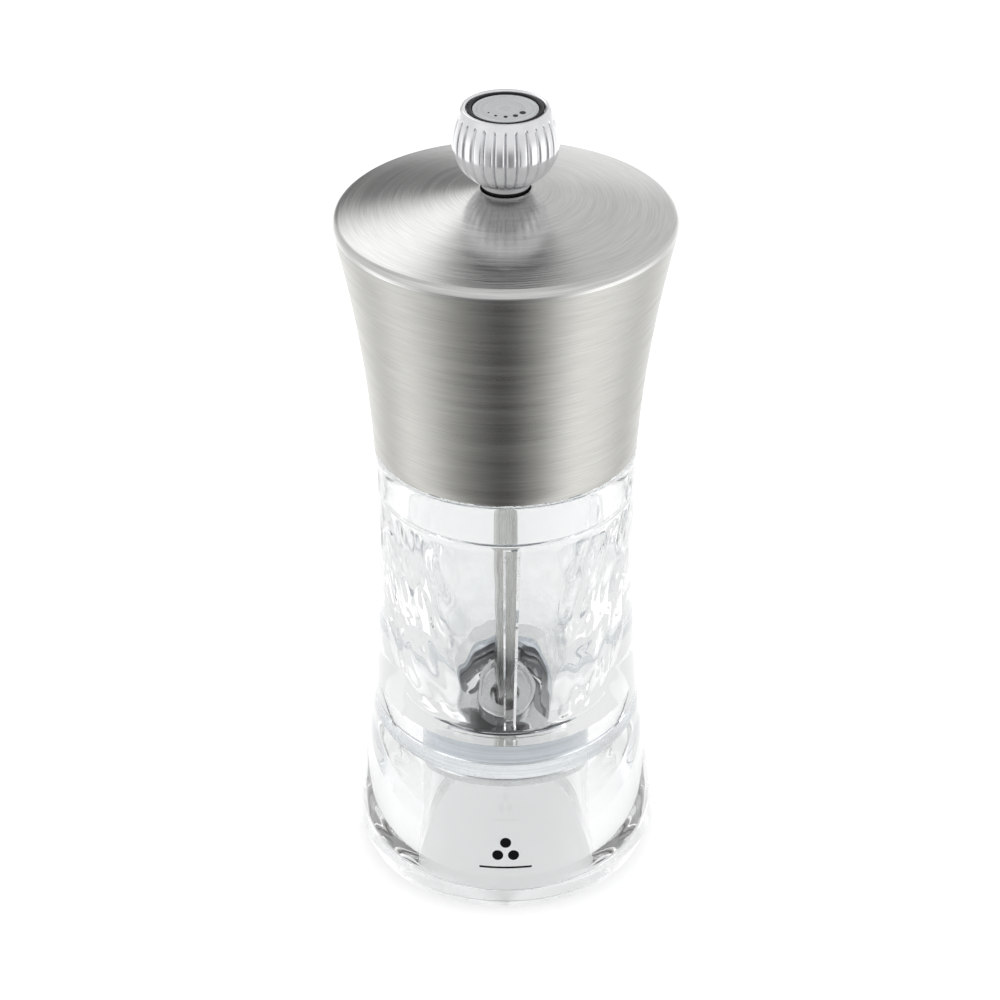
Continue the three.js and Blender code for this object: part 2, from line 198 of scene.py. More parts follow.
def skin(loops, closed=True):
    """A bmesh from loops of equal length; closed joins the last loop to the first."""
    bm = bmesh.new()
    rows = [[bm.verts.new(p) for p in loop] for loop in loops]
    count = len(rows[0])
    pairs = list(zip(rows, rows[1:] + rows[:1])) if closed else list(zip(rows, rows[1:]))
    for low, high in pairs:
        for i in range(count):
            j = (i + 1) % count
            bm.faces.new((low[i], low[j], high[j], high[i]))
    if not closed:
        bm.faces.new(rows[0])
        bm.faces.new(rows[-1])
    return bm


def round_loop(radius, z, count=48):
    return [(radius * math.cos(TAU * i / count), radius * math.sin(TAU * i / count), z)
            for i in range(count)]


def turn(outline, segments=128):
    """A ring turned about Z from a closed (radius, z) outline that stays off the axis."""
    return skin([round_loop(r, z, segments) for r, z in outline])


def turn_solid(outline, segments=96):
    """A solid turned about Z, flat at both ends, from the outline of its side."""
    return skin([round_loop(r, z, segments) for r, z in outline], closed=False)


def disc_outline(radius, low, high, edge):
    """The side of a flat disc with eased edges."""
    return [(radius - edge, low), (radius, low + edge), (radius, high - edge),
            (radius - edge, high)]


def washer_outline(inner, outer, low, high, edge=0.12):
    """A flat ring with eased edges."""
    return [
        (inner + edge, low), (outer - edge, low), (outer, low + edge),
        (outer, high - edge), (outer - edge, high), (inner + edge, high),
        (inner, high - edge), (inner, low + edge),
    ]


# ---- materials -----------------------------------------------------------------------

class Paint:
    """A Principled material and short calls for the nodes that vary it."""

    def __init__(self, name, color, roughness, metallic=0.0, **sockets):
        self.material = bpy.data.materials.new(name)
        self.material.use_nodes = True
        self.tree = self.material.node_tree
        self.shader = self.tree.nodes["Principled BSDF"]
        self.color = color
        self.set("Base Color", (*color, 1))
        self.set("Roughness", roughness)
        self.set("Metallic", metallic)
        for socket, value in sockets.items():
            self.set(socket.replace("_", " "), value)
        self.place = self.node("ShaderNodeTexCoord").outputs["Object"]

    def set(self, socket, value):
        """A constant, set straight on the shader."""
        self.shader.inputs[socket].default_value = value

    def node(self, kind, **settings):
        made = self.tree.nodes.new(kind)
        for key, value in settings.items():
            setattr(made, key, value)
        return made

    def link(self, source, target):
        self.tree.links.new(source, target)

    def math(self, operation, *values):
        """The output of a sum on numbers or on other nodes' outputs."""
        made = self.node("ShaderNodeMath", operation=operation)
        for socket, value in zip(made.inputs, values):
            if isinstance(value, (int, float)):
                socket.default_value = value
            else:
                self.link(value, socket)
        return made.outputs[0]

    def around(self, along, across, radial=False):
        """A place vector scaled so that noise runs in rings: by height, or by radius."""
        split = self.node("ShaderNodeSeparateXYZ")
        self.link(self.place, split.inputs[0])
        x, y, z = split.outputs
        if radial:
            squares = self.math("ADD", self.math("MULTIPLY", x, x), self.math("MULTIPLY", y, y))
            z = self.math("SQRT", squares)
        joined = self.node("ShaderNodeCombineXYZ")
        self.link(self.math("MULTIPLY", x, along), joined.inputs[0])
        self.link(self.math("MULTIPLY", y, along), joined.inputs[1])
        self.link(self.math("MULTIPLY", z, across), joined.inputs[2])
        return joined.outputs[0]

    def stretched(self, x, y, z):
        """A place vector with its own scale along each axis."""
        scale = self.node("ShaderNodeMapping")
        scale.inputs["Scale"].default_value = (x, y, z)
        self.link(self.place, scale.inputs["Vector"])
        return scale.outputs[0]

    def noise(self, vector, scale=1.0, detail=2.0):
        made = self.node("ShaderNodeTexNoise")
        made.inputs["Scale"].default_value = scale
        made.inputs["Detail"].default_value = detail
        self.link(vector, made.inputs["Vector"])
        return made.outputs["Fac"]

    def vary_color(self, factor, low, high):
        """Base colour between low and high shares of itself."""
        ramp = self.node("ShaderNodeValToRGB")
        ramp.color_ramp.elements[0].position = 0.3
        ramp.color_ramp.elements[1].position = 0.7
        ramp.color_ramp.elements[0].color = (*(c * low for c in self.color), 1)
        ramp.color_ramp.elements[1].color = (*(min(c * high, 1) for c in self.color), 1)
        self.link(factor, ramp.inputs["Fac"])
        self.link(ramp.outputs["Color"], self.shader.inputs["Base Color"])

    def vary_roughness(self, factor, low, high):
        made = self.node("ShaderNodeMapRange")
        made.inputs["From Min"].default_value = 0.3
        made.inputs["From Max"].default_value = 0.7
        made.inputs["To Min"].default_value = low
        made.inputs["To Max"].default_value = high
        self.link(factor, made.inputs["Value"])
        self.link(made.outputs["Result"], self.shader.inputs["Roughness"])

    def bump(self, height, strength, distance):
        made = self.node("ShaderNodeBump")
        made.inputs["Strength"].default_value = strength
        made.inputs["Distance"].default_value = distance
        self.link(height, made.inputs["Height"])
        self.link(made.outputs["Normal"], self.shader.inputs["Normal"])

    def brushed_round(self, amount):
        """Highlights spread across lines that run round the axis."""
        self.set("Anisotropic", amount)
        self.set("Anisotropic Rotation", 0.25)
        tangent = self.node("ShaderNodeTangent", direction_type="RADIAL", axis="Z")
        self.link(tangent.outputs[0], self.shader.inputs["Tangent"])


def clear_acrylic():
    """Polished acrylic, with the faint waves of moulding. Lamps shine through it."""
    paint = Paint("clear_acrylic", (0.86, 0.87, 0.87), 0.0, IOR=1.49, Transmission_Weight=1.0)
    paint.bump(paint.noise(paint.place, 160.0), 0.04, 0.0002)
    clear = paint.node("ShaderNodeBsdfTransparent")
    clear.inputs["Color"].default_value = (0.93, 0.94, 0.94, 1)
    mix = paint.node("ShaderNodeMixShader")
    rays = paint.node("ShaderNodeLightPath")
    paint.link(rays.outputs["Is Shadow Ray"], mix.inputs["Fac"])
    paint.link(paint.shader.outputs[0], mix.inputs[1])
    paint.link(clear.outputs[0], mix.inputs[2])
    output = paint.tree.nodes["Material Output"]
    paint.link(mix.outputs[0], output.inputs["Surface"])
    return paint.material


def brushed_steel(name, color, radial, rough=(0.26, 0.36), anisotropy=0.75):
    """Steel with fine lines round the axis, by height on a wall or by radius on a crown."""
    paint = Paint(name, color, 0.3, 1.0)
    fine = paint.noise(paint.around(150, 5200, radial), 1.0, 3.0)
    broad = paint.noise(paint.around(25, 900, radial), 1.0, 2.0)
    both = paint.math("ADD", paint.math("MULTIPLY", fine, 0.7), paint.math("MULTIPLY", broad, 0.3))
    paint.vary_color(both, 0.86, 1.1)
    paint.vary_roughness(broad, *rough)
    paint.bump(fine, 0.35, 0.00004)
    paint.brushed_round(anisotropy)
    return paint.material


def turned_metal(name, color, roughness, radial=False, depth=0.00002):
    """Metal turned on a lathe: faint rings and uneven shine."""
    paint = Paint(name, color, roughness, 1.0)
    rings = paint.noise(paint.around(40, 2600, radial), 1.0, 2.0)
    paint.vary_color(rings, 0.85, 1.08)
    paint.vary_roughness(paint.noise(paint.place, 300.0), roughness * 0.8, roughness * 1.25)
    paint.bump(rings, 0.3, depth)
    return paint.material


def drawn_metal(name, color, roughness):
    """Bar or wire drawn lengthwise: lines along Z."""
    paint = Paint(name, color, roughness, 1.0)
    lines = paint.noise(paint.stretched(3500, 3500, 60), 1.0, 2.0)
    paint.vary_color(lines, 0.84, 1.08)
    paint.vary_roughness(lines, roughness * 0.85, roughness * 1.3)
    paint.bump(lines, 0.25, 0.00002)
    return paint.material


def satin_metal(name, color, roughness, metallic=1.0):
    """Plated or stamped metal with a fine, even grain and a few dull patches."""
    paint = Paint(name, color, roughness, metallic)
    grain = paint.noise(paint.place, 5200.0, 3.0)
    patches = paint.noise(paint.place, 240.0)
    paint.vary_color(patches, 0.9, 1.05)
    paint.vary_roughness(patches, roughness * 0.85, roughness * 1.2)
    paint.bump(grain, 0.15, 0.00001)
    return paint.material


def moulded_plastic(name, color, roughness, shine=0.5):
    """Plastic with a fine moulded grain."""
    paint = Paint(name, color, roughness, 0.0, Specular_IOR_Level=shine)
    grain = paint.noise(paint.place, 3200.0, 2.0)
    paint.vary_color(paint.noise(paint.place, 120.0), 0.85, 1.15)
    paint.vary_roughness(grain, roughness * 0.8, roughness * 1.2)
    paint.bump(grain, 0.2, 0.00002)
    return paint.material


acrylic = clear_acrylic()
wall_steel = brushed_steel("brushed_wall", (0.51, 0.507, 0.482), radial=False)
crown_steel = brushed_steel("turned_crown", (0.60, 0.60, 0.59), True, (0.15, 0.22), 0.5)
rim_steel = brushed_steel("polished_rim", (0.70, 0.70, 0.69), False, (0.16, 0.22), 0.3)
housing_metal = turned_metal("housing_aluminium", (0.62, 0.655, 0.70), 0.32)
# A lighter copy of the housing's aluminium for the band's lower half: a painted highlight, not a
# different finish.
housing_painted_highlight = turned_metal("housing_painted_highlight", (0.86, 0.88, 0.90), 0.25)
tool_metal = turned_metal("tool_steel", (0.36, 0.365, 0.375), 0.34)
stamped_metal = satin_metal("stamped_steel", (0.74, 0.745, 0.75), 0.26)
bright_metal = satin_metal("bright_steel", (0.72, 0.73, 0.74), 0.18)
screw_metal = turned_metal("screw_steel", (0.5, 0.505, 0.51), 0.3, radial=True)
wire_metal = drawn_metal("wire_steel", (0.45, 0.455, 0.46), 0.25)
shaft_metal = drawn_metal("shaft_aluminium", (0.56, 0.56, 0.54), 0.24)
knob_metal = satin_metal("satin_knob", (0.86, 0.865, 0.88), 0.14, 0.8)
disc_metal = turned_metal("disc_aluminium", (0.70, 0.72, 0.73), 0.3, radial=True)
brass = turned_metal("insert_brass", (0.72, 0.55, 0.26), 0.28)
core_plastic = moulded_plastic("core_plastic", (0.72, 0.72, 0.70), 0.42)
black_plastic = moulded_plastic("black_gloss", (0.006, 0.006, 0.007), 0.1, 0.2)


# ---- body ----------------------------------------------------------------------------

BODY_SEGMENTS = 288

# The waves in the chamber's moulded wall: their depth, how close they are along each axis,
# and the share of them that is left in the front wall.
WAVE_DEPTH = 0.34
WAVE_SCALE = (0.45, 0.45, 0.16)
WAVE_IN_FRONT = 0.08

# The moulded rib up the chamber's front wall, in degrees from the front towards +X.
RIB_TURN = 3.125
RIB_HALF_WIDTH = 4.2
RIB_DEPTH = 1.3

# The printed mark: its dots' radius and places, its line's length, height and thickness, and
# how far its ink stands in and out of the acrylic.
MARK_DOT = 0.95
MARK_DOTS = [(-1.35, 12.4), (1.35, 12.4), (0.0, 14.8)]
MARK_LINE = 9.0
MARK_LINE_Z = 9.8
MARK_LINE_TALL = 0.35
MARK_INK = (-0.02, 0.03)

# How the outside sweeps in from the foot to the waist: shares of the way up and of the
# difference in radius that is left.
SWEEP = [(0, 1), (0.17, 0.78), (0.37, 0.4), (0.56, 0.2), (0.76, 0.07), (1, 0)]


def body_outside():
    """The outside wall from the foot's chamfer to the shoulder."""
    rise, bulge = waist_z - chamfer_z, foot_r - waist_r
    points = [(waist_r + left * bulge, chamfer_z + up * rise) for up, left in SWEEP]
    return eased([*points, (shoulder_r, shoulder_z)], 8)


def chamber_wall():
    """The chamber's inside from the step down to the funnel's end, in short stretches."""
    top = (chamber_r + 0.25, step_z - 0.3)
    low = (funnel_r - 0.2, pocket_top + 1.0)
    rows = 44
    return [(top[0] + (low[0] - top[0]) * i / rows, top[1] + (low[1] - top[1]) * i / rows)
            for i in range(rows + 1)]


def moulded(bm):
    """Shapes the chamber's wall as it left the mould: a rib in front, and waves at the sides."""
    wall = {round(r, 4): z for r, z in chamber_wall()[1:-1]}
    for v in bm.verts:
        radius = math.hypot(v.co.x, v.co.y)
        if round(radius, 4) not in wall or abs(wall[round(radius, 4)] - v.co.z) > 0.01:
            continue
        side = abs(v.co.x) / radius
        wave = noise.noise(Vector([c * scale for c, scale in zip(v.co, WAVE_SCALE)]))
        change = WAVE_DEPTH * wave * (WAVE_IN_FRONT + side ** 2)
        off = abs(math.degrees(math.atan2(v.co.x, -v.co.y)) - RIB_TURN) / RIB_HALF_WIDTH
        if v.co.y < 0 and off < 1:
            change = -RIB_DEPTH
        v.co.x *= 1 + change / radius
        v.co.y *= 1 + change / radius


def acrylic_body():
    """Clear body: waisted outside, neck, funnel-shaped chamber and open foot."""
    # Radii of the eased edges.
    foot, shoulder, neck, lip, step, floor_edge = 0.5, 0.4, 0.6, 0.3, 0.35, 0.7
    outline = [
        *arc(base_r - foot, foot, foot, -90, -20, 4),
        *body_outside()[:-1],
        *arc(shoulder_r - shoulder, shoulder_z - shoulder, shoulder, 0, 90, 4),
        *arc(neck_r + lip, shoulder_z + lip, lip, 270, 180, 3),
        *arc(neck_r - neck, neck_top - neck, neck, 0, 90, 4),
        *arc(neck_bore + lip, neck_top - lip, lip, 90, 180, 3),
        *arc(neck_bore - step, step_z + step_h + 0.2, step, 0, -50, 4),
        *arc(chamber_r - 0.1, step_z - 0.3, step, 60, 10, 3),
        *chamber_wall(),
        *arc(funnel_r + 0.5, pocket_top + 0.9, floor_edge, 190, 225, 3),
        (funnel_r, pocket_top),
        (foot_bore, pocket_top),
        *arc(foot_bore + foot, foot, foot, 180, 270, 4),
    ]
    bm = turn(outline, BODY_SEGMENTS)
    moulded(bm)
    piece("clear_body", bm, acrylic, "body", ["acrylic_body"], sharp=28)


def foot_mark():
    """A plain printed mark on the front of the foot: three dots over a line."""
    outside = sorted((z, r) for r, z in body_outside())
    bm = bmesh.new()

    def on_foot(across, z, proud):
        """A point of the wall, so far round from the front, and so far out of it."""
        low, high = next(pair for pair in zip(outside, outside[1:]) if pair[1][0] >= z)
        share = (z - low[0]) / (high[0] - low[0])
        r = low[1] + (high[1] - low[1]) * share + proud
        return r * math.sin(across / r), -r * math.cos(across / r), z

    def print_shape(outline):
        """Ink with this (across, z) outline."""
        rows = [[bm.verts.new(on_foot(x, z, proud)) for x, z in outline] for proud in MARK_INK]
        for i, corner in enumerate(rows[0]):
            after = (i + 1) % len(outline)
            bm.faces.new((corner, rows[0][after], rows[1][after], rows[1][i]))
        bm.faces.new(rows[0])
        bm.faces.new(rows[1])

    for x, z in MARK_DOTS:
        print_shape([(x + across, z + up) for across, up, _ in round_loop(MARK_DOT, 0, 24)])
    steps = 16
    along = [MARK_LINE / 2 * (2 * i / steps - 1) for i in range(steps + 1)]
    line_top = MARK_LINE_Z + MARK_LINE_TALL
    print_shape([(x, MARK_LINE_Z) for x in along] + [(x, line_top) for x in reversed(along)])
    piece("foot_mark", bm, black_plastic, "body", [])


def mechanism_housing():
    """Turned ring: its outer face is sunk a little into the acrylic, so it shows as a band, lighter
    on its lower half: a painted highlight.
    """
    r = foot_bore + 0.05
    lip_r, flange, edge, groove = 9.7, 1.5, 0.3, 0.25
    seat = ring_r + gap
    middle = (housing_z + housing_top) / 2
    outline = [
        (r - edge, housing_z), (r, housing_z + edge),
        (r, middle - groove), (r - edge, middle), (r, middle + groove),
        (r - 0.5, housing_top - 0.2), (r - 0.7, housing_top),
        (lip_r + 0.4, housing_top), (lip_r, housing_top - edge), (lip_r, housing_top - flange),
        (seat, housing_top - flange), (seat, housing_z),
    ]
    obj = piece("housing_ring", turn(outline, 160), [housing_metal, housing_painted_highlight], "body",
                ["mechanism_housing"])
    # The lower half takes the lighter copy of the aluminium: painted highlight.
    for face in obj.data.polygons:
        face.material_index = int(face.center.z < middle * MM)


def toothed(radius, z, teeth, depth, turn_by=0.0, samples=10):
    """A loop with saw teeth that rise slowly and fall at once."""
    tooth = [k / (samples - 2) for k in range(samples - 1)] + [0.4]
    count = teeth * samples
    loop = []
    for i in range(count):
        r = radius + depth * tooth[i % samples]
        angle = turn_by + TAU * i / count
        loop.append((r * math.cos(angle), r * math.sin(angle), z))
    return loop


def grinding_ring():
    """Fixed ring with leaning teeth inside, over a plain outside."""
    teeth, depth, wall, helix = 24, 0.7, 0.75, 0.004
    mouth = ring_r - wall - depth
    rows = 8
    loops = [toothed(ring_r, z, teeth, 0) for z in (ring_z, ring_top)]
    for k in range(rows + 1):
        z = ring_top + (ring_z - ring_top) * k / rows
        radius = mouth - tooth_slope * (z - ring_z)
        loops.append(toothed(radius, z, teeth, depth, helix * k))
    piece("grinding_ring_fine", skin(loops), tool_metal, "body",
          ["grinding_ring"], sharp=25)


def shaft_bridge():
    """Stamped spider: rim, hub with a raised lip, and three arms between them."""
    sheet, hub, hole, lip = 0.9, 6.0, 2.85, 0.8
    low, high = bridge_z, bridge_z + sheet
    rim = washer_outline(bridge_r - 1.7, bridge_r, low, high)
    hub_outline = [
        (hole, low + 0.1), (hole + 0.1, low), (hub - 0.1, low), (hub, low + 0.1),
        *arc(hub - 0.3, bridge_top - 0.3, 0.3, 0, 90, 4),
        *arc(hub - lip + 0.3, bridge_top - 0.3, 0.3, 90, 180, 4),
        *arc(hub - lip - 0.5, high + 0.5, 0.5, 0, -90, 4),
        (hole + 0.1, high), (hole, high - 0.1),
    ]
    bm = turn(rim, 128)
    for part in [turn(hub_outline, 96), *(bridge_arm(i, hub, low, high) for i in range(3))]:
        mesh = mesh_of("part", part)
        bm.from_mesh(mesh)
        bpy.data.meshes.remove(mesh)
    piece("bridge_spider", bm, stamped_metal, "body", ["shaft_bridge"])


def bridge_arm(index, hub, low, high):
    """An arm that widens at both ends, from inside the hub to inside the rim."""
    angle = -math.pi / 4 + TAU * index / 3
    start, end = hub - 0.4, bridge_r - 1.4
    slimmest, flare, edge = 1.5, 0.9, 0.12
    steps = 8
    sides = []
    for k in range(steps + 1):
        share = k / steps
        half = slimmest + flare * (2 * share - 1) ** 4
        sides.append((start + (end - start) * share, half))
    outline = [(x, -w) for x, w in sides] + [(x, w) for x, w in reversed(sides)]
    cos, sin = math.cos(angle), math.sin(angle)
    loops = []
    for inset, z in ((edge, low), (0, low + edge), (0, high - edge), (edge, high)):
        loop = []
        for x, w in outline:
            w -= math.copysign(inset, w)
            loop.append((x * cos - w * sin, x * sin + w * cos, z))
        loops.append(loop)
    return skin(loops, closed=False)


def retaining_plate():
    """Flat ring that holds the mechanism up."""
    width = 3.9
    outline = washer_outline(plate_r - width, plate_r, plate_z, plate_top, 0.2)
    piece("plate_ring", turn(outline, 128), stamped_metal, "body",
          ["retaining_plate"])


def pan_screw(node, body):
    """A pan-head screw, head down, with a cross recess in the head and a threaded shank."""
    low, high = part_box(node)
    x, y = (low.x + high.x) / 2 / MM, (low.y + high.y) / 2 / MM
    head = (high.x - low.x) / 2 / MM
    z, tip = low.z / MM, high.z / MM
    shank = head * 0.5
    tall = head * 0.42
    pitch = shank * 0.5
    outline = [(head * 0.8, z), *arc(head * 0.62, z + tall * 0.6, head * 0.38, -40, 20, 4)]
    outline += [(head, z + tall), (shank, z + tall)]
    turns = int((tip - z - tall) / pitch)
    for k in range(turns):
        start = z + tall + k * pitch
        outline += [(shank, start + pitch * 0.3), (shank * 0.8, start + pitch * 0.8)]
    outline += [(shank * 0.5, tip)]
    bm = turn_solid([(min(r, head), max(h, z)) for r, h in outline], 32)
    cross_recess(bm, head, z)
    bmesh.ops.translate(bm, verts=bm.verts, vec=(x, y, 0))
    piece(node + "_fine", bm, screw_metal, body, [node], sharp=30)


def cross_recess(bm, head, z):
    """Presses a four-point star into the flat face at height z."""
    core, wing = 0.16, 0.42
    lid = min(bm.faces, key=lambda f: f.calc_center_median().z)
    ring = bmesh.ops.inset_region(bm, faces=[lid], thickness=head * 0.12)["faces"]
    floor = min((f for f in bm.faces if f not in ring and len(f.verts) > 8),
                key=lambda f: f.calc_center_median().z)
    for v in floor.verts:
        angle = math.atan2(v.co.y, v.co.x)
        reach = core + wing * abs(math.cos(2 * angle)) ** 6
        v.co.x = head * reach * math.cos(angle)
        v.co.y = head * reach * math.sin(angle)
    made = bmesh.ops.extrude_discrete_faces(bm, faces=[floor])["faces"]
    for v in {v for f in made for v in f.verts}:
        v.co = Vector((v.co.x * 0.7, v.co.y * 0.7, z + head * 0.3))


# ---- shaft, cone and spring ----------------------------------------------------------

SHAFT_SIDE = 3.6
SHAFT_TURN = 0.2  # radians
THREAD_R = 1.95
THREAD_DEEP = 0.25


def square_loop(side, z, corner=0.35, steps=3):
    """A square with rounded corners, turned as the shaft is."""
    half = side / 2 - corner
    loop = []
    for sx, sy, start in ((1, 1, 0), (-1, 1, 90), (-1, -1, 180), (1, -1, 270)):
        for k in range(steps + 1):
            a = math.radians(start + 90 * k / steps)
            x, y = sx * half + corner * math.cos(a), sy * half + corner * math.sin(a)
            loop.append((
                x * math.cos(SHAFT_TURN) - y * math.sin(SHAFT_TURN),
                x * math.sin(SHAFT_TURN) + y * math.cos(SHAFT_TURN),
                z,
            ))
    return loop


def square_shaft():
    """Drawn square bar, riveted over below and threaded above."""
    top = bush_z - 0.6  # of the square part
    rivet = 0.6
    # The rivet's loops: side, height above its face, and corner radius.
    loops = [square_loop(side, shaft_z + rise, corner) for side, rise, corner in (
        (SHAFT_SIDE / 2, 0.0, 0.65), (5.0, 0.12, 2.4), (5.6, 0.35, 2.7), (5.6, rivet, 2.7))]
    loops += [square_loop(SHAFT_SIDE, shaft_z + rivet), square_loop(SHAFT_SIDE, top - 0.3),
              square_loop(SHAFT_SIDE - 0.6, top, 0.3)]
    root = THREAD_R - THREAD_DEEP
    z = top
    while z + thread_pitch < shaft_top:
        for radius, rise in ((root, 0.1), (THREAD_R, 0.4), (root, 0.65)):
            loops.append(square_loop(2 * radius, z + rise, radius))
        z += thread_pitch
    loops.append(square_loop(2 * THREAD_R - 1.0, shaft_top, THREAD_R - 0.55))
    piece("drive_shaft", skin(loops, closed=False), shaft_metal, "spindle",
          ["square_shaft"], sharp=32)


def punch(obj, tools):
    """Cuts the tools' shapes from a finished piece, and removes the tools."""
    for tool in tools:
        change = obj.modifiers.new("cut", "BOOLEAN")
        change.object = tool
        change.solver = "EXACT"
    bpy.context.view_layer.update()
    graph = bpy.context.evaluated_depsgraph_get()
    mesh = bpy.data.meshes.new_from_object(obj.evaluated_get(graph))
    obj.modifiers.clear()
    obj.data = mesh
    mesh.set_sharp_from_angle(angle=math.radians(30))
    for tool in tools:
        bpy.data.objects.remove(tool)


def cutter(loops):
    """A tool for punch(), from loops in millimetres."""
    return placed("cutter", mesh_of("cutter", in_metres(skin(loops, closed=False))))


def square_hole(low, high):
    """A tool for a hole that the square shaft goes through."""
    side = SHAFT_SIDE + 2 * gap
    return cutter([square_loop(side, low), square_loop(side, high)])


def grinding_cone():
    """Toothed rotor: a skirt under a cone, with a pocket for the spring and a square hole."""
    teeth, depth, helix, edge, pocket_r = 15, 0.7, 0.11, 0.3, 3.95
    low = cone_r - depth
    skirt = ring_z
    rows = [(low - edge, cone_z), (low, cone_z + edge), (low, skirt)]
    steps = 8
    high = low - tooth_slope * (cone_top - skirt)
    for k in range(1, steps + 1):
        share = k / steps
        rows.append((low + (high - low) * share, skirt + (cone_top - skirt) * share))
    loops = [toothed(r, z, teeth, depth, helix * (z - cone_z), 12) for r, z in rows]
    bm = skin(loops, closed=False)
    obj = piece("cone_fine", bm, tool_metal, "spindle", ["grinding_cone"], sharp=25)
    pocket = cutter([round_loop(pocket_r, spring_z - gap), round_loop(pocket_r, cone_top + 1)])
    punch(obj, [pocket, square_hole(cone_z - 1, cone_top)])


def holed_washer(node, name, body, edge):
    """A washer with eased edges and a square hole for the shaft."""
    radius, low, high = span(node)
    bm = turn_solid(disc_outline(radius, low, high, edge), 64)
    obj = piece(name, bm, stamped_metal, body, [node])
    punch(obj, [square_hole(low - 1, high + 1)])


def spring():
    """Coil of round wire, bound to no body."""
    wire, coil, turns = 0.3, 3.35, 3
    steps, around = 180, 12
    low, high = spring_z + wire, spring_top - wire
    loops = []
    for i in range(steps + 1):
        t = i / steps
        angle = TAU * turns * t
        z = low + (high - low) * t
        loop = []
        for k in range(around):
            b = TAU * k / around
            r = coil + wire * math.cos(b)
            loop.append((r * math.cos(angle), r * math.sin(angle), z + wire * math.sin(b)))
        loops.append(loop)
    obj = piece("coil_spring", skin(loops, closed=False), wire_metal, None,
                ["spring"], sharp=60)
    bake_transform(obj)


# ---- cap -----------------------------------------------------------------------------

def head_shell():
    """Spun steel cap: bell wall, rolled rim and a shallow conical crown."""
    slope = math.degrees(math.atan2(crown_z - rim_z, rim_r - crown_hole))
    lean = math.degrees(math.atan2(2 * (rim_r - shoulder_r - cap_lean), rim_z - cap_z))
    rows = 28
    heights = [cap_z + 0.35 + (rim_z - 0.4 - cap_z) * i / rows for i in range(rows)]
    outer = [(cap_radius(z), z) for z in heights]
    inner = [(cap_radius(z) - shell_wall, z) for z in reversed(heights)]
    rim = arc(rim_r - rim_round, rim_z, rim_round, -lean, 90 - slope, 12)
    underside = arc(rim_r - rim_round, rim_z, rim_round - shell_wall, 90 - slope, -lean, 6)
    outline = [
        (shoulder_r - shell_wall + 0.15, cap_z), (shoulder_r - 0.15, cap_z),
        *outer, *rim,
        *arc(crown_hole + 0.25, crown_z - 0.3, 0.25, 70, 180, 4),
        (crown_hole, crown_z - shell_wall),
        *underside, *inner,
    ]
    obj = piece("cap_shell", turn(outline, 256), [wall_steel, crown_steel, rim_steel],
                "head", ["head_shell"], sharp=50)
    crown_low = rim[-1][1] - 0.35
    for face in obj.data.polygons:
        z = face.center.z / MM
        radius = math.hypot(face.center.x, face.center.y) / MM
        if z > crown_low or (z > rim_z and radius < rim_r - rim_round):
            face.material_index = 1
        elif z > rim_z - 0.2:
            face.material_index = 2


def finished(node, material):
    """A CAD node whose shape is right already: only its surface is finished."""
    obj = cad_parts[node]
    obj.data.materials.clear()
    obj.data.materials.append(material)
    obj.data.shade_smooth()
    obj.data.set_sharp_from_angle(angle=math.radians(30))


def drive_plate():
    """Stamped plate with a square hole, held up by its screws."""
    radius, low, high = span("drive_plate")
    screw_out, screw_hole = 7.6, 1.2
    bm = turn_solid(disc_outline(radius, low, high, 0.2))
    obj = piece("drive_plate_fine", bm, stamped_metal, "head", ["drive_plate"])
    holes = []
    for x in (screw_out, -screw_out):
        loops = [[(x + across, y, z) for across, y, _ in round_loop(screw_hole, 0, 24)]
                 for z in (low - 1, high + 1)]
        holes.append(cutter(loops))
    punch(obj, [square_hole(low - 1, high + 1), *holes])


def top_bush():
    """Sleeve in the crown's hole, with a flange under the crown."""
    sleeve, hole, edge = crown_hole - gap, 2.25, 0.2
    flange_top = bush_z + 2.4
    outline = [
        (hole + 0.1, bush_z), (bush_r - edge, bush_z), (bush_r, bush_z + edge),
        (bush_r, flange_top - edge), (bush_r - edge, flange_top), (sleeve, flange_top),
        *arc(sleeve - edge, bush_top - edge, edge, 0, 90, 3),
        (hole + 0.1, bush_top), (hole, bush_top - 0.1), (hole, bush_z + 0.1),
    ]
    piece("sleeve_bush", turn(outline, 64), black_plastic, "head",
          ["top_bush"])


# ---- knob ----------------------------------------------------------------------------

def flute_loop(radius, z, depth, samples=16):
    """A loop of rounded ribs with narrow grooves between them."""
    flat = 0.45  # share of a rib that its groove leaves whole
    count = flutes * samples
    loop = []
    for i in range(count):
        phase = abs(2 * ((i % samples) / samples) - 1)
        groove = max(0.0, phase - flat) / (1 - flat)
        r = radius - depth * groove ** 2.2
        angle = TAU * i / count
        loop.append((r * math.cos(angle), r * math.sin(angle), z))
    return loop


def knob_body():
    """Fluted barrel with a plain band on top, a recess for its trim and a bore for its insert."""
    tall = knob_top - knob_z
    band, edge = 1.0, 0.12
    loops = []
    rows = 40
    for k in range(rows + 1):
        h = edge + (tall - band - edge) * k / rows
        fade = min(1, (rows - k) / 2, 0.35 + k / 5)
        loops.append(flute_loop(knob_radius(h), knob_z + h, flute_depth * fade))
    for share in (0.15, 0.5, 0.8):
        h = tall - band * (1 - share)
        loops.append(flute_loop(knob_radius(h), knob_z + h, 0))
    shoulder = 0.22
    recess, recess_z = trim_r + 0.25, trim_z - gap
    vent = 0.6  # narrow hole between the recess and the bore
    bore_r, bore_top = 3.3, trim_z - 2.6
    for r, z in (
        *arc(knob_radius(tall) - shoulder, knob_top - shoulder, shoulder, 20, 90, 4),
        (recess + edge, knob_top), (recess, knob_top - edge), (recess, recess_z),
        (vent, recess_z), (vent, bore_top), (bore_r, bore_top),
        (bore_r, knob_z + 0.2), (bore_r + 0.2, knob_z), (knob_radius(0.0) - 0.25, knob_z),
    ):
        loops.append(flute_loop(r, z, 0))
    piece("fluted_knob", skin(loops), knob_metal, "knob", ["knob_body"], sharp=48)


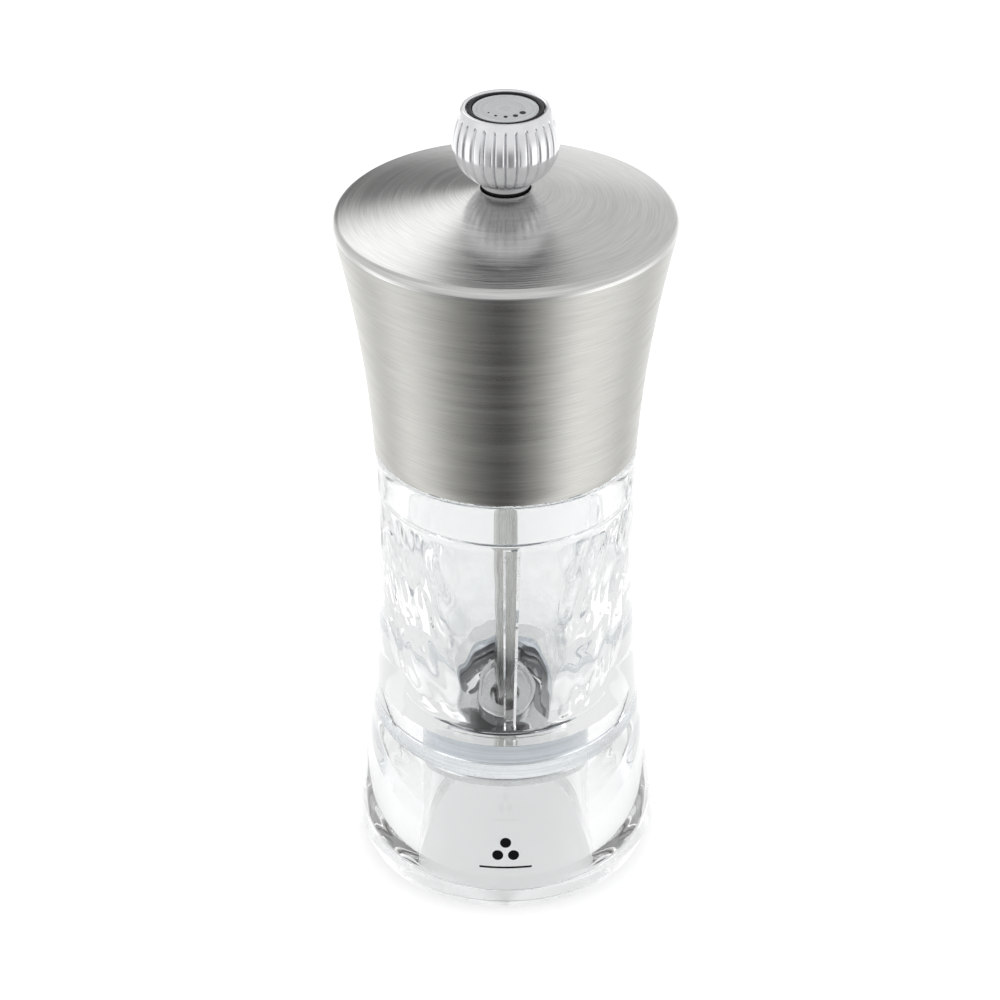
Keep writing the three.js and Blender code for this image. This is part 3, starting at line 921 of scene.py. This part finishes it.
def knob_insert():
    """Threaded brass insert with a knurled outside."""
    radius, low, high = span("knob_insert")
    minor, major, knurl = 2.15, 2.45, 0.15
    count = 96

    def loop(r, z, deep=0.0):
        """A round loop; with a depth, every other pair of its points is pressed in."""
        radii = [r - deep * (i % 4 in (0, 1)) for i in range(count)]
        return [(one * math.cos(TAU * i / count), one * math.sin(TAU * i / count), z)
                for i, one in enumerate(radii)]

    loops = [loop(radius - 0.1, low + 0.3), loop(radius, low + 0.8, knurl),
             loop(radius, high - 0.8, knurl), loop(radius - 0.1, high - 0.3),
             loop(radius - 0.4, high), loop(major, high)]
    z = high - 0.3
    while z - thread_pitch > low + 0.2:
        loops += [loop(minor, z), loop(major, z - thread_pitch / 2)]
        z -= thread_pitch
    loops += [loop(major, low), loop(radius - 0.4, low)]
    piece("threaded_insert", skin(loops), brass, "knob", ["knob_insert"])


def knob_trim():
    """Black ring and the flat disc inside it, with a plain scale of dots for the grind."""
    face_r = disc_r + 0.35
    inner = face_r + 0.1
    groove_z = disc_top - 0.06
    outline = [
        (inner, trim_z), (trim_r, trim_z), (trim_r, trim_top - 0.2),
        *arc(trim_r - 0.25, trim_top - 0.25, 0.25, 0, 90, 4),
        *arc(inner + 0.2, trim_top - 0.2, 0.2, 90, 180, 4),
    ]
    piece("black_ring", turn(outline, 128), black_plastic, "knob",
          ["knob_ring"])
    rows = [(face_r, disc_z), (face_r, disc_top - 0.12), (face_r - 0.12, disc_top),
            (face_r - 0.5, disc_top), (face_r - 0.56, groove_z),
            (face_r - 0.7, groove_z), (face_r - 0.76, disc_top)]
    piece("face_disc", turn_solid(rows, 128), disc_metal, "knob",
          ["knob_disc"])
    grind_scale()


def grind_scale():
    """Dots of growing size round part of the disc: the usual fine-to-coarse sign."""
    dots, circle, corners = 5, 3.1, 24
    bm = bmesh.new()
    for k in range(dots):
        angle = math.radians(-150 + 30 * k)
        radius = 0.16 + 0.09 * k
        middle = Vector((circle * math.cos(angle), circle * math.sin(angle), disc_top))
        rows = [[bm.verts.new(middle + Vector(point)) for point in round_loop(r, rise, corners)]
                for r, rise in ((radius, -0.05), (radius, 0.03), (radius * 0.8, 0.05))]
        for low, high in zip(rows, rows[1:]):
            for i in range(corners):
                j = (i + 1) % corners
                bm.faces.new((low[i], low[j], high[j], high[i]))
        bm.faces.new(rows[0])
        bm.faces.new(rows[-1])
    piece("scale_dots", bm, black_plastic, "knob", [])


def knob_washer():
    """Polished washer that fills the space between the bush and the knob's foot."""
    hole = 2.25
    low, high = bush_top, (knob_washer_top + knob_z) / 2
    outline = washer_outline(hole, knob_washer_r, low, high, 0.15)
    piece("seat_washer", turn(outline, 96), bright_metal, "knob",
          ["knob_washer"])


# ---- stage ---------------------------------------------------------------------------

def floor():
    """A white floor that glows a little. Reflections leave it out."""
    mesh = bpy.data.meshes.new("floor")
    half = 4.0
    mesh.from_pydata([(-half, -half, 0), (half, -half, 0), (half, half, 0), (-half, half, 0)],
                     [], [(0, 1, 2, 3)])
    obj = placed("floor", mesh)
    paint = Paint("floor_white", (0.93, 0.93, 0.93), 0.6)
    paint.set("Emission Color", (1, 1, 1, 1))
    paint.set("Emission Strength", 0.25)
    mesh.materials.append(paint.material)
    obj.visible_glossy = False


def lamp(name, place, aim, size, power):
    """A soft box at a place, turned towards a point."""
    light = bpy.data.lights.new(name, "AREA")
    light.shape = "RECTANGLE"
    light.size, light.size_y = size
    light.energy = power
    obj = placed(name, light)
    obj.location = place
    obj.rotation_euler = (Vector(aim) - Vector(place)).to_track_quat("-Z", "Y").to_euler()


def studio():
    """A plain white room and three soft boxes."""
    world = bpy.data.worlds.new("studio")
    bpy.context.scene.world = world
    world.use_nodes = True
    background = world.node_tree.nodes["Background"]
    background.inputs["Color"].default_value = (1, 1, 1, 1)
    background.inputs["Strength"].default_value = 0.9
    lamp("left_box", (-0.55, -0.25, 0.45), (0, 0, 0.08), (0.35, 0.6), 0.7)
    lamp("right_box", (0.6, -0.1, 0.4), (0, 0, 0.08), (0.3, 0.6), 0.5)
    lamp("top_box", (0.0, 0.25, 0.8), (0, 0, 0.05), (0.6, 0.4), 0.4)


# The dome's brightness near the floor, all the way round: degrees from the front (-Y) towards
# +X, and brightness. These are the studio's white cards and black flags.
CARDS = [
    (-180, 1.5), (-141, 1.3), (-115, 0.92), (-89, 1.5), (-61, 0.9), (-48, 0.55), (-28, 0.27),
    (-8, 0.11), (2, 0.11), (11, 0.18), (31, 0.52), (47, 1.1), (60, 1.55), (88, 1.45),
    (118, 0.95), (129, 1.05), (160, 1.3), (180, 1.5),
]
CARD_MOST = 1.7  # colours stop at 1, so the ramp holds shares of this

# The dome's brightness overhead, and the cards in it: direction, brightness added, and the
# cosine where each one starts.
OVERHEAD = 0.8
OVERHEAD_CARDS = [((-0.32, 0.6, 0.74), 0.8, 0.93), ((-0.25, 0.88, 0.38), -0.55, 0.92),
                  ((0.25, 0.95, 0.2), 0.3, 0.95), ((-0.02, 0.52, 0.85), -1.0, 0.982)]
SIDES_TO_OVERHEAD = (-0.05, 0.3)  # heights on the dome, from -1 to 1, where one fades into the other


def reflected_cards():
    """A dome round the mill that only shows in reflections: the studio's cards and flags."""
    bm = bmesh.new()
    bmesh.ops.create_uvsphere(bm, u_segments=64, v_segments=32, radius=0.6)
    mesh = mesh_of("card_dome", bm)
    obj = placed("card_dome", mesh)
    for rays in ("camera", "diffuse", "transmission", "shadow", "volume_scatter"):
        setattr(obj, "visible_" + rays, False)
    paint = Paint("card_dome", (0, 0, 0), 1.0)
    way = paint.node("ShaderNodeVectorMath", operation="NORMALIZE")
    paint.link(paint.place, way.inputs[0])
    split = paint.node("ShaderNodeSeparateXYZ")
    paint.link(way.outputs[0], split.inputs[0])
    x, y, z = split.outputs
    angle = paint.math("ARCTAN2", x, paint.math("MULTIPLY", y, -1.0))
    share = paint.math("ADD", paint.math("DIVIDE", angle, TAU), 0.5)
    ramp = paint.node("ShaderNodeValToRGB")
    paint.link(share, ramp.inputs["Fac"])
    stops = ramp.color_ramp.elements
    while len(stops) < len(CARDS):
        stops.new(0.5)
    for stop, (degrees, value) in zip(stops, CARDS):
        stop.position = degrees / 360 + 0.5
        stop.color = (*[value / CARD_MOST] * 3, 1)
    sides = paint.math("MULTIPLY", ramp.outputs["Color"], CARD_MOST)
    above = OVERHEAD
    for direction, more, start in OVERHEAD_CARDS:
        facing = paint.node("ShaderNodeVectorMath", operation="DOT_PRODUCT")
        paint.link(way.outputs[0], facing.inputs[0])
        facing.inputs[1].default_value = Vector(direction).normalized()
        edge = paint.node("ShaderNodeMapRange", interpolation_type="SMOOTHSTEP")
        edge.inputs["From Min"].default_value = start
        paint.link(facing.outputs["Value"], edge.inputs["Value"])
        above = paint.math("ADD", above, paint.math("MULTIPLY", edge.outputs["Result"], more))
    rise = paint.node("ShaderNodeMapRange", interpolation_type="SMOOTHSTEP")
    for socket, height in zip(("From Min", "From Max"), SIDES_TO_OVERHEAD):
        rise.inputs[socket].default_value = height
    paint.link(z, rise.inputs["Value"])
    upper = paint.math("MULTIPLY", rise.outputs["Result"], above)
    lower = paint.math("MULTIPLY", paint.math("SUBTRACT", 1.0, rise.outputs["Result"]), sides)
    glow = paint.node("ShaderNodeEmission")
    paint.link(paint.math("ADD", upper, lower), glow.inputs["Strength"])
    paint.link(glow.outputs[0], paint.tree.nodes["Material Output"].inputs["Surface"])
    mesh.materials.append(paint.material)


def light_paths():
    """Lets light bounce many times inside the thick acrylic before it is given up."""
    cycles = bpy.context.scene.cycles
    cycles.max_bounces = 32
    cycles.glossy_bounces = 24
    cycles.transmission_bounces = 32


def camera():
    """A long lens from above the front, at the photograph's angle."""
    tilt = math.radians(31.37)
    data = bpy.data.cameras.new("camera")
    data.sensor_width = 36.0
    data.lens = 117.7
    data.shift_x = -0.0056
    obj = placed("camera", data)
    obj.location = (0, -0.470, 0.3543)
    obj.rotation_euler = (math.pi / 2 - tilt, 0, 0)
    bpy.context.scene.camera = obj


# ---- the mill on its stage -----------------------------------------------------------

camera()
studio()
reflected_cards()
floor()
bpy.context.scene.view_settings.view_transform = "Standard"
light_paths()

acrylic_body()
foot_mark()
mechanism_housing()
grinding_ring()
shaft_bridge()
retaining_plate()
for index in (1, 2, 3):
    pan_screw(f"plate_screw_{index}", "body")

holed_washer("spring_seat", "seat_washer_square", "drive", 0.12)
spring()
square_shaft()
grinding_cone()
holed_washer("rotor_washer", "cone_washer", "spindle", 0.15)

head_shell()
finished("head_core", core_plastic)
drive_plate()
for index in (1, 2):
    pan_screw(f"drive_plate_screw_{index}", "head")
top_bush()

knob_washer()
knob_body()
knob_insert()
knob_trim()
